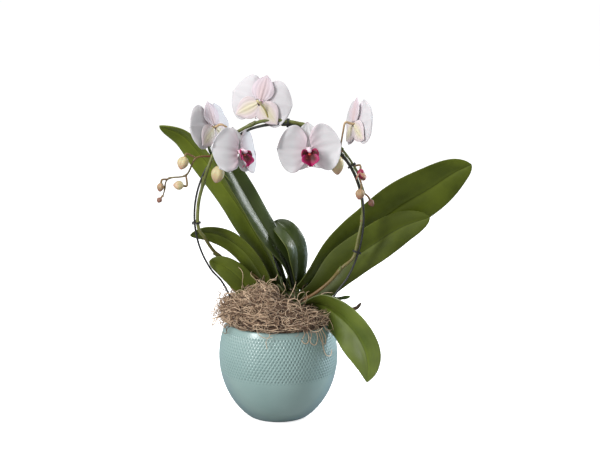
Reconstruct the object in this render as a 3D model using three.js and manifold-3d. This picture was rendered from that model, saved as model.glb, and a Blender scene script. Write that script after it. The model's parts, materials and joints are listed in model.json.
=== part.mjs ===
// A moth orchid in a glazed pot, millimetres, +Z up, origin at the middle of the pot's foot.
// The two flower stems are tied to an upright wire hoop that stands in the bark behind the rim.
import * as THREE from 'three';
import { mergeVertices } from 'three/addons/utils/BufferGeometryUtils.js';
import Module from 'manifold-3d';

const wasm = await Module();
wasm.setup();
const { Manifold, Mesh } = wasm;

// ---- driving dimensions ----
const clearance = 0.3; // gap between pieces that touch
const potHeight = 117.5;
const bellyRadius = 72; // the pot is an ellipsoid, cut flat at its foot and at its rim
const rimRadius = 63;
const footRadius = 35;
const potWall = 5;
const potFloor = 8;
const growerWall = 1.2;
const growerGap = 7.3; // from the grower pot's rim out to the pot's wall
const growerFootGap = 1; // the same at its foot
const growerBelowRim = 9; // how far the grower pot's rim sits under the pot's rim
const barkBelowGrower = 8;
const mossRise = 32; // top of the moss above the pot's rim
const mossOverhang = 3; // how far the moss spreads past the rim
const crownRadius = 11;
const crownRise = 34; // top of the short leafy stem above the rim
const crownDepth = 26; // how far the stem reaches into the bark
const hoopWire = 2.4; // wire diameter
const hoopHalfWidth = 100.5;
const hoopX = 1.5;
const hoopRiseTop = 110; // from the hoop's widest height to its top
const hoopDropLeft = 109; // the same for its lower quarters, which the stems pull out of round
const hoopDropRight = 127;
const hoopAboveRim = 131; // height of the widest place above the rim
const hoopY = -16; // the hoop stands a little in front of the stem
const hoopLegDepth = 60; // how far its legs reach below the rim
const hoopLegSpread = 34;
const spikeRadius = 2.2;
const sprayRadius = 1.2;
const pedicelRadius = 1.1;
const leafThickness = 2.2;
const petalThickness = 1.2;
const flowerRadius = 37; // middle of a flower to the edge of a petal
const budScale = 1;
const rootRadius = 2.4;
const tieWidth = 3;
const tieWall = 1;

// ---- small tools ----
const vec = (x, y, z) => new THREE.Vector3(x, y, z);
const rim = (x, y, z) => vec(x, y, potHeight + z); // a place measured from the rim's plane
const UP_Y = vec(0, 1, 0);

function solid(geometry) {
  const bare = geometry.clone();
  for (const name of Object.keys(bare.attributes)) {
    if (name !== 'position') bare.deleteAttribute(name);
  }
  const merged = mergeVertices(bare, 1e-4);
  return new Manifold(new Mesh({
    numProp: 3,
    vertProperties: new Float32Array(merged.attributes.position.array),
    triVerts: new Uint32Array(merged.index.array),
  }));
}

function toGeometry(manifold) {
  const mesh = manifold.getMesh();
  const geometry = new THREE.BufferGeometry();
  geometry.setAttribute('position', new THREE.BufferAttribute(mesh.vertProperties, 3));
  geometry.setIndex(new THREE.BufferAttribute(mesh.triVerts, 1));
  geometry.computeVertexNormals();
  return geometry;
}

const largest = (manifold) =>
  manifold.decompose().reduce((a, b) => (a.volume() > b.volume() ? a : b));

// A round stem along a smooth curve, made fatter by `grow` where a neighbour is cut to clear it.
function tube(points, radius, sides, steps, grow = 0) {
  const path = new THREE.CatmullRomCurve3(points, false, 'centripetal');
  const section = new THREE.Shape();
  for (let i = 0; i < sides; i += 1) {
    const a = (i / sides) * 2 * Math.PI;
    const r = radius + grow;
    section[i ? 'lineTo' : 'moveTo'](r * Math.cos(a), r * Math.sin(a));
  }
  section.closePath();
  const geometry = new THREE.ExtrudeGeometry(section, { steps, extrudePath: path, bevelEnabled: false });
  return solid(geometry);
}

// A body of revolution. The profile is a list of [radius, height] from the axis round to the axis.
function lathe(profile, segments) {
  const points = profile.map(([r, z]) => new THREE.Vector2(r, z));
  return solid(new THREE.LatheGeometry(points, segments).rotateX(Math.PI / 2));
}

// A box bent onto a curved blade. `place` gives a point for t along, s across and h through it.
function bentBox(along, across, place) {
  const geometry = new THREE.BoxGeometry(1, 2, 1, along, across, 1);
  const spots = geometry.attributes.position;
  for (let i = 0; i < spots.count; i += 1) {
    const p = place(spots.getX(i) + 0.5, spots.getY(i), spots.getZ(i));
    spots.setXYZ(i, p.x, p.y, p.z);
  }
  return solid(geometry);
}

// ---- pot, grower pot, bark and moss ----
const cutShare = (radius) => Math.sqrt(1 - (radius / bellyRadius) ** 2);
const bellyRise = potHeight / (cutShare(rimRadius) + cutShare(footRadius)); // half its full height
const bellyHeight = bellyRise * cutShare(footRadius);

function ellipseRadius(z, shrink = 0) {
  const t = (z - bellyHeight) / (bellyRise - shrink);
  return (bellyRadius - shrink) * Math.sqrt(1 - t * t);
}

function potSolid() {
  const steps = 8;
  const outer = [];
  const inner = [];
  for (let i = 0; i <= steps; i += 1) {
    const zOut = (i / steps) * (potHeight - potWall / 2);
    outer.push([ellipseRadius(zOut), zOut]);
    const zIn = potFloor + (i / steps) * (potHeight - potWall / 2 - potFloor);
    inner.unshift([ellipseRadius(zIn, potWall), zIn]);
  }
  const lipTop = [(outer[steps][0] + inner[0][0]) / 2, potHeight];
  return lathe([[0, 0], ...outer, lipTop, ...inner, [0, potFloor]], 40);
}

const growerBottom = potFloor + clearance;
const growerTop = potHeight - growerBelowRim;
const growerBaseRadius = ellipseRadius(growerBottom, potWall) - growerFootGap;
const growerTopRadius = ellipseRadius(growerTop, potWall) - growerGap;
const growerRadius = (z) =>
  growerBaseRadius
  + (growerTopRadius - growerBaseRadius) * ((z - growerBottom) / (growerTop - growerBottom));
const barkTop = growerTop - barkBelowGrower;

function growerSolid() {
  return lathe([
    [0, growerBottom], [growerBaseRadius, growerBottom], [growerTopRadius, growerTop],
    [growerTopRadius - growerWall, growerTop],
    [growerBaseRadius - growerWall, growerBottom + growerWall], [0, growerBottom + growerWall],
  ], 24);
}

function barkSolid() {
  const low = growerBottom + growerWall + clearance;
  const inset = growerWall + clearance;
  return lathe([
    [0, low], [growerRadius(low) - inset, low], [growerRadius(barkTop) - inset, barkTop], [0, barkTop],
  ], 24);
}

function mossSolid() {
  const low = barkTop + clearance;
  const inset = growerWall + clearance;
  const throat = ellipseRadius(potHeight - potWall / 2, potWall) - clearance;
  const brim = ellipseRadius(potHeight) + mossOverhang;
  const dome = [[1, 0.14], [1.02, 0.3], [0.95, 0.52], [0.8, 0.74], [0.6, 0.9], [0.3, 0.98], [0, 1]];
  return lathe([
    [0, low], [growerRadius(low) - inset, low], [growerRadius(growerTop) - inset, growerTop + clearance],
    [throat, growerTop + clearance], [throat, potHeight + clearance * 2],
    [brim - 2, potHeight + clearance * 2],
    ...dome.map(([r, z]) => [brim * r, potHeight + mossRise * z]),
  ], 28);
}

// ---- hoop, stems and ties ----
// A place on the hoop by its angle in degrees, 0 at the right and 90 at the top. `out` moves it
// away from the hoop's middle and `front` towards the front.
function onHoop(degrees, out = 0, front = 0) {
  const a = THREE.MathUtils.degToRad(degrees);
  const drop = Math.cos(a) > 0 ? hoopDropRight : hoopDropLeft;
  const rise = Math.sin(a) > 0 ? hoopRiseTop : drop;
  const x = hoopX + (hoopHalfWidth + out) * Math.cos(a);
  return rim(x, hoopY - front, hoopAboveRim + (rise + out) * Math.sin(a));
}

const hoopFoot = -48; // angle where the wire goes down into the moss
const range = (from, to, count) =>
  Array.from({ length: count + 1 }, (_, i) => from + ((to - from) * i) / count);

function hoopSolid(grow = 0) {
  const leg = (side) => [
    rim(side * hoopLegSpread, hoopY, -hoopLegDepth),
    rim(side * (hoopLegSpread + 4), hoopY, -hoopLegDepth / 3),
  ];
  const arc = range(hoopFoot, 180 - hoopFoot, 24).map((d) => onHoop(d));
  return tube([...leg(1), ...arc, ...leg(-1).reverse()], hoopWire / 2, 6, 56, grow);
}

const beside = hoopWire / 2 + spikeRadius + 2 * clearance; // centre lines of a stem and the wire
// The left stem climbs inside the hoop, crosses in front of it and runs on outside it.
const spikeLeftPath = [
  rim(8, 4, 34), rim(-22, 9, 50), rim(-52, 7, 66), rim(-75, -1, 84), rim(-88, -13, 106),
  onHoop(188, -beside, 0), onHoop(172, -beside, 0), onHoop(158, -beside, 1), onHoop(146, -1, beside),
  onHoop(134, beside, 1), onHoop(118, beside, 0), onHoop(100, beside + 1.5, 0), onHoop(82, beside, 0),
  onHoop(64, beside, 0), onHoop(46, beside, 0), onHoop(30, beside, 0), onHoop(14, beside, 0),
];
// The right stem climbs the other side, passes behind the wire and ends in the spray of buds.
const spikeRightPath = [
  rim(26, -2, 24), rim(44, -10, 36), rim(62, -15, 52), rim(77, -19, 70),
  onHoop(-24, -beside, 1), onHoop(-12, -beside, 0), onHoop(0, -1, -beside), onHoop(16, 0, -beside),
  onHoop(36, 0, -beside), onHoop(60, 0, -beside), onHoop(84, 0, -beside), onHoop(108, 0, -beside),
  onHoop(128, 0, -beside - 1), onHoop(139, 1, -beside - 3),
];
const spikeRightTip = spikeRightPath[spikeRightPath.length - 1];

// The spray of buds zigzags on from that stem's end, one bud at each turn.
const sprayPath = [
  [-3, 0, -1.5], [-21, -6, -3], [-33, -8, -23], [-55, -8, -28], [-59, -8, -42], [-61, -8, -49],
].map(([x, y, z]) => spikeRightTip.clone().add(vec(x, y, z)));

const spikeLeft = (grow = 0) => tube(spikeLeftPath, spikeRadius, 6, 48, grow);
const spikeRight = (grow = 0) => tube(spikeRightPath, spikeRadius, 6, 44, grow);
const spray = (grow = 0) => tube(sprayPath, sprayRadius, 5, 20, grow);

// A twist tie: a flat loop round the wire and the stem beside it, with its twisted end standing out.
function tie(degrees, out, front) {
  const room = hoopWire / 2 + spikeRadius + clearance;
  const reachOut = Math.abs(out) + room;
  const centre = onHoop(degrees, out / 2, front / 2);
  const along = onHoop(degrees + 1).sub(onHoop(degrees - 1)).normalize();
  const across = out !== 0 ? onHoop(degrees, 10).sub(onHoop(degrees)).normalize() : UP_Y.clone();
  const third = along.clone().cross(across);
  const frame = new THREE.Matrix4().makeBasis(across, third, along).setPosition(centre);
  const outline = (grow) => {
    const shape = new THREE.Path();
    const a = reachOut / 2 + spikeRadius / 2 + grow + 0.6;
    shape.absellipse(0, 0, a, room + grow, 0, 2 * Math.PI, false, 0);
    return shape;
  };
  const ring = new THREE.Shape(outline(tieWall).getPoints(5));
  ring.holes.push(outline(0));
  const band = new THREE.ExtrudeGeometry(ring, { depth: tieWidth, bevelEnabled: false, curveSegments: 5 });
  band.translate(0, 0, -tieWidth / 2);
  const tail = new THREE.BoxGeometry(1.2, 8, 1.2).translate(0, room + tieWall / 2 + 3.6, 0);
  return solid(band.applyMatrix4(frame)).add(solid(tail.applyMatrix4(frame)));
}

// ---- stem base, leaves and roots ----
const crownPath = [rim(16, 6, -crownDepth), rim(17, 6, 0), rim(20, 5, crownRise)];
const crown = (grow = 0) => tube(crownPath, crownRadius, 10, 3, grow);

// Each leaf: its midrib from the base to the tip, half its width, how far it is turned about its
// length in degrees, and how deep its fold is. Heights are above the pot's rim.
const leaves = [
  ['leaf_upper_left', [[12, 14, 32], [-6, 23, 64], [-31, 28, 108], [-56, 29, 148], [-88, 27, 193],
    [-113, 20, 223], [-141, 12, 236]], 22, [-52, -40], 0.3],
  ['leaf_back', [[16, 20, 30], [-10, 32, 72], [-33, 40, 112], [-52, 44, 143], [-70, 46, 171]],
    19, [-40, -30], 0.25],
  ['leaf_tall_centre', [[17, 4, 40], [10, 5, 71], [-9, 8, 99], [-28, 13, 131], [-44, 17, 159],
    [-62, 20, 188], [-84, 22, 212]], 16, [50, 34], 0.2],
  ['leaf_arched', [[21, 6, 40], [24, 5, 68], [20, 7, 92], [10, 14, 108], [-4, 26, 118]],
    17, [58, 40], 0.15],
  ['leaf_mid_left', [[8, 2, 28], [-8, 4, 36], [-23, 8, 60], [-40, 11, 84], [-61, 12, 100],
    [-84, 11, 107], [-106, 10, 104]], 15, [-36, -28], 0.25],
  ['leaf_low_left', [[6, -6, 24], [-30, -6, 32], [-42, -7, 48], [-54, -8, 61], [-67, -8, 70],
    [-82, -6, 75]], 15, [20, 10], 0.2],
  ['leaf_right_long', [[28, 8, 34], [75, 20, 80], [113, 26, 109], [148, 28, 137], [184, 28, 159],
    [214, 26, 179], [233, 22, 188]], 34, [22, 12], 0.15],
  ['leaf_right_front', [[28, 0, 24], [48, 0, 36], [79, 3, 68], [115, 6, 93], [149, 8, 114],
    [182, 6, 126]], 23, [-12, -10], 0.15],
  ['leaf_front_right', [[24, -8, 20], [50, -18, 25], [71, -34, 16], [91, -46, -2], [103, -52, -24],
    [107, -54, -44], [106, -54, -62]], 26, [40, 20], 0.2],
];

function blade(leaf, grow = 0) {
  const [, spine, halfWidth, [turnBase, turnTip], fold] = leaf;
  const path = new THREE.CatmullRomCurve3(spine.map(([x, y, z]) => rim(x, y, z)), false, 'centripetal');
  return bentBox(12, 2, (t, s, h) => {
    const centre = path.getPointAt(t);
    const along = path.getTangentAt(t);
    const flat = along.clone().cross(UP_Y).normalize();
    const through = along.clone().cross(flat);
    const turn = THREE.MathUtils.degToRad(turnBase + (turnTip - turnBase) * t);
    const side = flat.clone().multiplyScalar(Math.cos(turn)).addScaledVector(through, Math.sin(turn));
    const face = along.clone().cross(side);
    const swell = 0.42 + 0.58 * THREE.MathUtils.smoothstep(t, 0, 0.5);
    const point = Math.sqrt(Math.max(0, 1 - Math.max(0, (t - 0.55) / 0.45) ** 2.4));
    const half = halfWidth * Math.max(0.06, swell * point) + grow;
    const depth = Math.abs(s) * half * fold + h * (leafThickness + 2 * grow);
    return centre.addScaledVector(side, s * half).addScaledVector(face, depth)
      .addScaledVector(along, (t - 0.5) * 2 * grow);
  });
}

const rootPaths = {
  aerial_root_upper: [rim(30, 14, 12), rim(52, 22, 22), rim(73, 24, 22), rim(88, 22, 25)],
  aerial_root_lower: [rim(30, 12, 0), rim(52, 14, 14), rim(78, 8, 14), rim(94, 6, 14), rim(101, 6, 21)],
};

// ---- flowers ----
// A flower looks along its own -Y. Each: its middle from where its stalk joins a stem, the way it
// faces as a turn about Z and a tip up or down and a roll about that line in degrees, its size,
// that joint, and how far its two petals sweep back.
const flowers = [
  ['top', [-10.4, 6, 20.1], [165, 8, -12], 1, onHoop(96, beside + 1.5, 0), 0],
  ['left', [-25.2, 8, 11.7], [-125, 14, 0], 0.95, onHoop(122, 0, -beside), 0],
  ['front_left', [-6.2, -22, -22.3], [48, -12, 8], 0.95, onHoop(113, 0, -beside), 15],
  ['centre', [-14.8, -24, -13.3], [4, -4, -4], 1, onHoop(60, 0, -beside), 0],
  ['right', [17.9, 2, 28], [112, 6, 8], 0.95, onHoop(46, beside, 0), 0],
];

function flowerFrame([, offset, [turn, tip, roll], size, joint]) {
  const d = THREE.MathUtils.degToRad;
  const middle = joint.clone().add(vec(...offset));
  const turned = new THREE.Matrix4().makeRotationZ(d(turn));
  turned.multiply(new THREE.Matrix4().makeRotationX(d(tip)));
  turned.multiply(new THREE.Matrix4().makeRotationY(d(roll)));
  const scale = new THREE.Matrix4().makeScale(size, size, size);
  return new THREE.Matrix4().makeTranslation(middle.x, middle.y, middle.z).multiply(turned).multiply(scale);
}

// A petal or sepal that leaves the flower's middle at `degrees`, 90 being straight up.
function petal(degrees, length, halfWidth, lift, cup, grow = 0) {
  const a = THREE.MathUtils.degToRad(degrees);
  const out = vec(Math.cos(a), 0, Math.sin(a));
  const side = vec(-Math.sin(a), 0, Math.cos(a));
  const start = 4;
  return bentBox(5, 2, (t, s, h) => {
    const swell = Math.sin(Math.PI * Math.min(1, 0.08 + 0.92 * t) ** 0.8) ** 0.6;
    const half = Math.max(0.12, swell) * halfWidth + grow;
    const r = start + (length - start) * t + (t - 0.5) * 2 * grow;
    const back = lift - cup[0] * t * t - cup[1] * s * s - h * (petalThickness + 2 * grow);
    return vec(0, back, 0).addScaledVector(out, r).addScaledVector(side, s * half);
  });
}

const R = flowerRadius;
const sepalBack = 3.2; // the sepals sit this far behind the petals
function sepals(grow = 0) {
  const disc = new THREE.CylinderGeometry(5 + grow, 5 + grow, petalThickness + 2 * grow, 8);
  return [90, 218, 322].reduce(
    (body, a) => body.add(petal(a, R * 0.88, R * 0.42, sepalBack, [3, 0.4], grow)),
    solid(disc.translate(0, sepalBack, 0)),
  );
}
const petalLeft = (grow, sweep) => petal(172, R, R * 0.7, 0, [3.5 - sweep, 2], grow);
const petalRight = (grow, sweep) => petal(8, R, R * 0.7, 0, [3.5 - sweep, 2], grow);

// The lip: two upright side lobes and a pointed middle lobe, hung below the column.
function lip(grow = 0) {
  const keel = bentBox(5, 2, (t, s, h) => {
    const half = (2.5 + 5.5 * Math.sin(Math.PI * (0.15 + 0.8 * t))) + grow;
    const drop = -3 - 15 * t;
    const front = -3 - 9 * Math.sin(Math.PI * (0.1 + 0.6 * t));
    return vec(s * half, front - s * s * 4 - h * (2 + 2 * grow), drop - (t - 0.5) * 2 * grow);
  });
  const lobe = (side) => bentBox(2, 1, (t, s, h) => vec(
    side * (6 + 2.5 * t) - h * (1.6 + 2 * grow),
    -8 - 3 * t + s * (4.5 + grow),
    -6 + 8 * t + (t - 0.5) * 2 * grow,
  ));
  return keel.add(lobe(1)).add(lobe(-1));
}

// The column stands out of the middle, and behind it the stalk bends back to the stem.
function column(flower, grow = 0) {
  const frame = flowerFrame(flower);
  const place = (x, y, z) => vec(x, y, z).applyMatrix4(frame);
  const head = new THREE.SphereGeometry(3 + grow, 8, 5).scale(1, 2, 1).translate(0, -5, 1);
  const joint = flower[4];
  const from = place(0, -3, 0);
  const behind = place(0, 14, 1);
  const bend = behind.clone().lerp(joint, 0.5).add(vec(0, 0, 4));
  const stalk = tube([from, place(0, 6, 0), behind, bend, joint], pedicelRadius, 5, 9, grow);
  return solid(head.applyMatrix4(frame)).add(stalk);
}

// ---- buds ----
// Each: its middle from where its stalk starts, its length and width, the way its tip points, and
// that starting place.
const buds = [
  ['bud_left_large', [5, -5, -20], [21, 16], [-0.25, 0, -1], onHoop(140, 0, -beside)],
  ['bud_right_large', [-8, -6, -15], [24, 16.5], [0.05, 0, -1], onHoop(43, beside, 0)],
  ['bud_spray_1', [-15, -8, -5], [16, 13.5], [-0.35, -0.3, -1], sprayPath[1]],
  ['bud_spray_2', [-9, -2, -12], [12.5, 11], [-1, -0.2, 0.1], sprayPath[2]],
  ['bud_spray_3', [-8, -4, -9], [11, 8.5], [-0.2, 0, -1], sprayPath[3]],
  ['bud_spray_tip', [-4, 0, -4], [7, 6.5], [-0.6, 0, -0.8], sprayPath[5]],
  ['bud_opening', [8, -10, -8], [14, 10], [0.1, -0.4, -1], onHoop(32, beside, 0)],
  ['bud_right_small', [0, -11, -18], [13, 11], [-0.2, -0.3, -1], onHoop(24, beside, 0)],
  ['bud_right_tip', [8, -1, -11], [9.5, 7.5], [0.5, 0, -1], onHoop(14, beside, 0)],
];

function bud([, offset, [length, width], tip, joint], grow = 0) {
  const middle = joint.clone().add(vec(...offset));
  const toTip = vec(...tip).normalize();
  const turn = new THREE.Quaternion().setFromUnitVectors(vec(0, 0, -1), toTip);
  const half = (length * budScale) / 2;
  const body = new THREE.SphereGeometry(1, 8, 6).rotateX(Math.PI / 2)
    .scale((width * budScale) / 2 + grow, (width * budScale) / 2 + grow, half + grow)
    .applyQuaternion(turn).translate(middle.x, middle.y, middle.z);
  const neck = middle.clone().addScaledVector(toTip, 1.5 - half);
  const over = neck.clone().addScaledVector(toTip, -5);
  const stalk = tube([middle.clone().lerp(neck, 0.5), neck, over, joint], pedicelRadius, 5, 7, grow);
  return solid(body).add(stalk);
}

// ---- fitting: each piece is cut back from the pieces fitted before it ----
const group = new THREE.Group();
const fitted = [];

function fit(name, make, colour, roughness) {
  let body = make(0);
  const reach = new THREE.Box3(vec(...body.boundingBox().min), vec(...body.boundingBox().max));
  reach.expandByScalar(clearance * 2);
  for (const other of fitted) {
    if (!other.reach.intersectsBox(reach)) continue;
    other.grown ??= other.make(clearance);
    body = body.subtract(other.grown);
  }
  body = largest(body);
  fitted.push({ make, reach });
  const material = new THREE.MeshStandardMaterial({ color: colour, roughness, metalness: 0 });
  const mesh = new THREE.Mesh(toGeometry(body), material);
  mesh.name = name;
  group.add(mesh);
}

// A piece given in a flower's own frame, put in its place.
const inFlower = (flower, make) => (grow) =>
  make(grow, flower[5]).transform(flowerFrame(flower).elements);

fit('flower_pot', () => potSolid(), 0x8fb6b4, 0.35);
fit('grower_pot', () => growerSolid(), 0x151515, 0.6);
fit('hoop', hoopSolid, 0x141414, 0.5);
fit('plant_crown', crown, 0x4c5a22, 0.6);
fit('spike_left', spikeLeft, 0x5d6630, 0.5);
fit('spike_right', spikeRight, 0x5d6630, 0.5);
fit('spray_branch', spray, 0x6a5a30, 0.5);
for (const [name, degrees, out, front] of [
  ['tie_left', 184, -beside, 0], ['tie_top', 84, beside, 0],
  ['tie_upper_right', 33, beside, 0], ['tie_lower_right', -20, -beside, 0],
]) {
  fit(name, () => tie(degrees, out, front), 0x101010, 0.6);
}
for (const leaf of leaves) fit(leaf[0], (grow) => blade(leaf, grow), 0x4f6b22, 0.4);
for (const flower of flowers) {
  const name = (piece) => `flower_${flower[0]}_${piece}`;
  fit(name('column'), (grow) => column(flower, grow), 0xf3e9ee, 0.5);
  fit(name('sepals'), inFlower(flower, sepals), 0xf0eaec, 0.6);
  fit(name('petal_left'), inFlower(flower, petalLeft), 0xf7f4f5, 0.6);
  fit(name('petal_right'), inFlower(flower, petalRight), 0xf7f4f5, 0.6);
  fit(name('lip'), inFlower(flower, lip), 0xb5145f, 0.5);
}
for (const one of buds) fit(one[0], (grow) => bud(one, grow), 0xe3d6a6, 0.5);
for (const [name, path] of Object.entries(rootPaths)) {
  fit(name, (grow) => tube(path, rootRadius, 6, 10, grow), 0x5c5a33, 0.7);
}
fit('bark_mix', () => barkSolid(), 0x3a271b, 0.9);
fit('moss_topping', () => mossSolid(), 0x8f7260, 0.9);

export default group;
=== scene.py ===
import bmesh
import bpy
import json
import random
from math import cos, exp, pi, radians, sin, sqrt
from mathutils import Matrix, Vector, noise

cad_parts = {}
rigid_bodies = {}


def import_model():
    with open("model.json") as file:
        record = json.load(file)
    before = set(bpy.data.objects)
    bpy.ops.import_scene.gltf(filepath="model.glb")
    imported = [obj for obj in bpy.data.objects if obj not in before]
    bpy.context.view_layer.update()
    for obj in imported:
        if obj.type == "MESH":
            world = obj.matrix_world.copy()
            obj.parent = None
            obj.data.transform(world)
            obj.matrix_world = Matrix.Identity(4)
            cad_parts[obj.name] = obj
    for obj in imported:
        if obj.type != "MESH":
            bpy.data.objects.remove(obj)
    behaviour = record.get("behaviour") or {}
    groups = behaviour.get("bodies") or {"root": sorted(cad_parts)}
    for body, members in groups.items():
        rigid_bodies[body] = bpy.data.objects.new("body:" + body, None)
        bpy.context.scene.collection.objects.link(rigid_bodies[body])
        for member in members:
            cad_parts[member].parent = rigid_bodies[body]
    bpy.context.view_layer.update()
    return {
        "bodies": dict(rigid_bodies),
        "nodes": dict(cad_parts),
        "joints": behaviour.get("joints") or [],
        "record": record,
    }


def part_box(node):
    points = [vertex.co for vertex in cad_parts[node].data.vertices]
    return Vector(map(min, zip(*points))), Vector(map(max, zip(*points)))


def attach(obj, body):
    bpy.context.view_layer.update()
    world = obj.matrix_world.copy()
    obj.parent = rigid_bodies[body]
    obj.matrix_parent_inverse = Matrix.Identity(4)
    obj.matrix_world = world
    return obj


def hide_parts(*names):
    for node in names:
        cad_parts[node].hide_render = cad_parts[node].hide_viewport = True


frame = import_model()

# ---- Camera, light and floor ----
# The plant stands on a plain pale floor under soft studio lamps: a tall window-like one at the front
# left, a fill at the right, a low one for the drooping leaf, a strip behind the right edge, a wide one
# above, and a small one whose glare falls on the glossy middle leaves.

MM = 0.001
LENS = 85.0
SENSOR = 36.0
CAMERA_DISTANCE = 1.7
CAMERA_RISE = radians(10)
FLOOR_HALF = 400
RIM_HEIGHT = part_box("flower_pot")[1][2]
AIM = Vector((26.4 * MM, 0, RIM_HEIGHT + 118 * MM))


def add_camera():
    data = bpy.data.cameras.new("camera")
    data.lens = LENS
    data.sensor_width = SENSOR
    camera = bpy.data.objects.new("camera", data)
    back = Vector((0, -cos(CAMERA_RISE), sin(CAMERA_RISE)))
    camera.location = AIM + back * CAMERA_DISTANCE
    camera.rotation_euler = (pi / 2 - CAMERA_RISE, 0, 0)
    bpy.context.scene.collection.objects.link(camera)
    bpy.context.scene.camera = camera


def add_lamp(name, place, width, height, watts, colour=(1, 1, 1)):
    data = bpy.data.lights.new(name, "AREA")
    data.shape = "RECTANGLE"
    data.size = width
    data.size_y = height
    data.energy = watts
    data.color = colour
    lamp = bpy.data.objects.new(name, data)
    lamp.location = place
    lamp.rotation_euler = (AIM - Vector(place)).to_track_quat("-Z", "Y").to_euler()
    bpy.context.scene.collection.objects.link(lamp)


def as_mesh(name, bm):
    mesh = bpy.data.meshes.new(name)
    bm.to_mesh(mesh)
    bm.free()
    return mesh


def add_floor():
    bm = bmesh.new()
    bmesh.ops.create_grid(bm, x_segments=1, y_segments=1, size=FLOOR_HALF)
    mesh = as_mesh("floor", bm)
    floor = bpy.data.objects.new("floor", mesh)
    material = bpy.data.materials.new("floor")
    material.use_nodes = True
    nodes, links = material.node_tree.nodes, material.node_tree.links
    shader = nodes["Principled BSDF"]
    shader.inputs["Roughness"].default_value = 0.9
    shader.inputs["Emission Color"].default_value = (1, 1, 1, 1)
    seen = nodes.new("ShaderNodeLightPath").outputs["Is Camera Ray"]
    for name, dim, bright in (("Base Color", 0.3, 0.9), ("Emission Strength", 0.0, 0.68)):
        level = nodes.new("ShaderNodeMapRange")
        level.inputs["To Min"].default_value = dim
        level.inputs["To Max"].default_value = bright
        links.new(seen, level.inputs["Value"])
        links.new(level.outputs["Result"], shader.inputs[name])
    mesh.materials.append(material)
    bpy.context.scene.collection.objects.link(floor)


add_camera()
add_floor()
# name, place, width, height, power in watts, colour
for lamp in (
    ("window", (-1.5, -1.15, 1.25), 0.5, 1.4, 46),
    ("fill", (1.3, -1.7, 1.6), 1.0, 1.2, 3),
    ("low", (-0.5, -1.93, 0.33), 0.45, 0.5, 5.5),
    ("edge", (1.3, 0.4, 0.35), 0.35, 1.2, 16, (0.72, 0.86, 1)),
    ("top", (-0.1, 0.2, 1.9), 1.4, 1.4, 12),
    ("glare", (1.6, 0.65, 1.25), 0.4, 0.6, 22),
):
    add_lamp(*lamp)
world = bpy.data.worlds.new("studio")
world.use_nodes = True
world.node_tree.nodes["Background"].inputs["Color"].default_value = (1, 1, 1, 1)
world.node_tree.nodes["Background"].inputs["Strength"].default_value = 0.38
bpy.context.scene.world = world
bpy.context.scene.view_settings.view_transform = "Standard"

# ---- Cover pot ----
# A slip-cast stoneware pot, glazed inside and out. Its body is an egg cut flat at foot and rim. A
# band of small dimples in slanting rows is cast into the upper half, under the satin glaze.

BELLY_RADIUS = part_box("flower_pot")[1][0]
RIM_RADIUS = 63 * MM
FOOT_RADIUS = 35 * MM
POT_WALL = 5 * MM
POT_FLOOR = 8 * MM
DOTS_ROUND = 104
DOT_ROWS = 16
DOT_BAND_LOW = RIM_HEIGHT - 61 * MM
DOT_BAND_HIGH = RIM_HEIGHT - 5 * MM
DOT_DEPTH = 1.1 * MM
DOT_START = 56 * MM  # from here up the wall has DOT_STEPS rows, fine enough for the dimples
DOT_STEPS = 88
POLE = 0.002 * MM


def cut_share(radius):
    return sqrt(1 - (radius / BELLY_RADIUS) ** 2)


BELLY_RISE = RIM_HEIGHT / (cut_share(RIM_RADIUS) + cut_share(FOOT_RADIUS))
BELLY_HEIGHT = BELLY_RISE * cut_share(FOOT_RADIUS)


def pot_radius(z, inset=0.0):
    t = (z - BELLY_HEIGHT) / (BELLY_RISE - inset)
    return (BELLY_RADIUS - inset) * sqrt(max(0.0, 1 - t * t))


def bent_grid(name, along, across, place):
    """A grid whose points go to place(u, v), u and v from 0 to 1, with u and v kept as its UVs."""
    bm = bmesh.new()
    bm.loops.layers.uv.new("UVMap")
    bmesh.ops.create_grid(bm, x_segments=along, y_segments=across, size=0.5, calc_uvs=True)
    for vert in bm.verts:
        vert.co = place(vert.co.x + 0.5, vert.co.y + 0.5)
    bmesh.ops.remove_doubles(bm, verts=bm.verts, dist=1e-6)
    bmesh.ops.recalc_face_normals(bm, faces=bm.faces)
    for face in bm.faces:
        face.smooth = True
    return as_mesh(name, bm)


def join_meshes(name, meshes):
    """One mesh out of several, each already in its place."""
    bm = bmesh.new()
    for mesh in meshes:
        bm.from_mesh(mesh)
    return as_mesh(name, bm)


def around(r, angle, z):
    """The place at that distance and angle from the pot's upright axis."""
    return Vector((r * cos(angle), r * sin(angle), z))


def add_piece(name, mesh, materials, slot, *nodes):
    """A finished piece that rides with the plant and stands for its CAD nodes."""
    piece = bpy.data.objects.new(name, mesh)
    for material in materials:
        mesh.materials.append(material)
    bpy.context.scene.collection.objects.link(piece)
    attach(piece, "root")
    if nodes:
        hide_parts(*nodes)
    return piece


NOISE_ROUGHNESS = 0.55


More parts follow.
